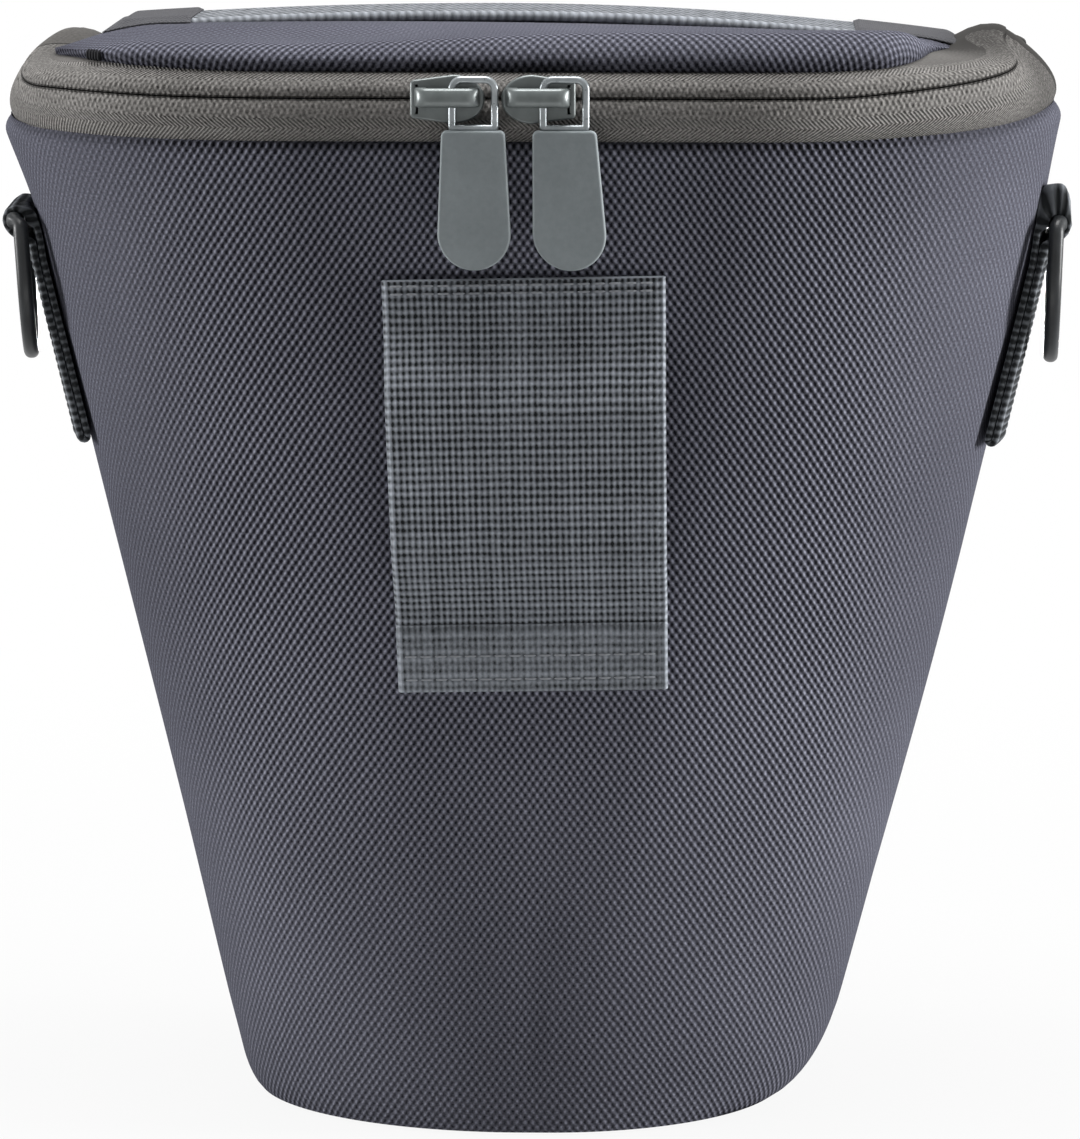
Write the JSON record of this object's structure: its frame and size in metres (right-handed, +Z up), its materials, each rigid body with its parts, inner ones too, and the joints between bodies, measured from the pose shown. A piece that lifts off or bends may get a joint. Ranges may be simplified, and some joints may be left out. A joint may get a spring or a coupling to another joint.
{
  "type": "camera case",
  "caption": "Tapered padded holster case for a camera: zipped hinged lid, webbing belt loop and carry handle, and a hanging ring on each side.",
  "frame": {"origin": "middle of the base panel's underside, on the surface that the case stands on", "axes": "+Z up; -Y is the rear, with the belt loop and the zip pulls; +X is to the right seen from the rear"},
  "size_m": [0.1976, 0.1331, 0.2046],
  "materials": {
    "case_fabric": "charcoal woven polyester with a fine diagonal lattice",
    "webbing": "grey ribbed nylon webbing",
    "zip_tape": "brown-grey herringbone zip tape",
    "zip_coil": "dark nylon coil",
    "foam": "closed-cell foam padding",
    "lining": "light grey lining cloth",
    "binding": "dark woven binding",
    "slider_metal": "grey painted die-cast metal",
    "pull_rubber": "grey moulded soft plastic, bare",
    "ring_plastic": "dark grey moulded plastic"
  },
  "bodies": {
    "case_body": {"body_shell": "case_fabric", "base_panel": "case_fabric", "base_foam": "foam", "wall_foam": "foam", "body_lining": "lining", "rim_binding": "binding", "lower_zip_tape": "zip_tape", "lower_zip_coil": "zip_coil", "lower_hinge_strip": "zip_tape", "belt_loop": "webbing", "ring_tab_left": "webbing", "ring_tab_right": "webbing"},
    "lid": {"lid_shell": "case_fabric", "lid_foam": "foam", "lid_lining": "lining", "upper_zip_tape": "zip_tape", "upper_zip_coil": "zip_coil", "upper_hinge_strip": "zip_tape", "carry_handle": "webbing", "handle_patch_left": "case_fabric", "handle_patch_right": "case_fabric"},
    "slider_left": {"zip_slider_left": "slider_metal"},
    "slider_right": {"zip_slider_right": "slider_metal"},
    "pull_left": {"pull_frame_left": "slider_metal", "pull_tab_left": "pull_rubber"},
    "pull_right": {"pull_frame_right": "slider_metal", "pull_tab_right": "pull_rubber"},
    "ring_left": {"d_ring_left": "ring_plastic"},
    "ring_right": {"d_ring_right": "ring_plastic"}
  },
  "joints": [
    {"name": "lid_hinge", "type": "hinge", "parent": "case_body", "child": "lid", "pos_m": [0, 0.0642, 0.1913], "axis": [-1, 0, 0], "range_deg": [0, 110]},
    {"name": "slider_left_run", "type": "slide", "parent": "case_body", "child": "slider_left", "axis": [-1, 0, 0], "range_m": [0, 0.017]},
    {"name": "slider_right_run", "type": "slide", "parent": "case_body", "child": "slider_right", "axis": [1, 0, 0], "range_m": [0, 0.029]},
    {"name": "pull_left_swing", "type": "hinge", "parent": "slider_left", "child": "pull_left", "pos_m": [-0.0093, -0.06675, 0.1917], "axis": [0, 1, 0], "range_deg": [-2.5, 20]},
    {"name": "pull_right_swing", "type": "hinge", "parent": "slider_right", "child": "pull_right", "pos_m": [0.0066, -0.06675, 0.1917], "axis": [0, -1, 0], "range_deg": [-2.5, 85]},
    {"name": "ring_left_swing", "type": "hinge", "parent": "case_body", "child": "ring_left", "pos_m": [-0.09513, -0.013, 0.166], "axis": [0, 1, 0], "range_deg": [-5, 115]},
    {"name": "ring_right_swing", "type": "hinge", "parent": "case_body", "child": "ring_right", "pos_m": [0.09513, -0.013, 0.166], "axis": [0, -1, 0], "range_deg": [-5, 115]}
  ]
}
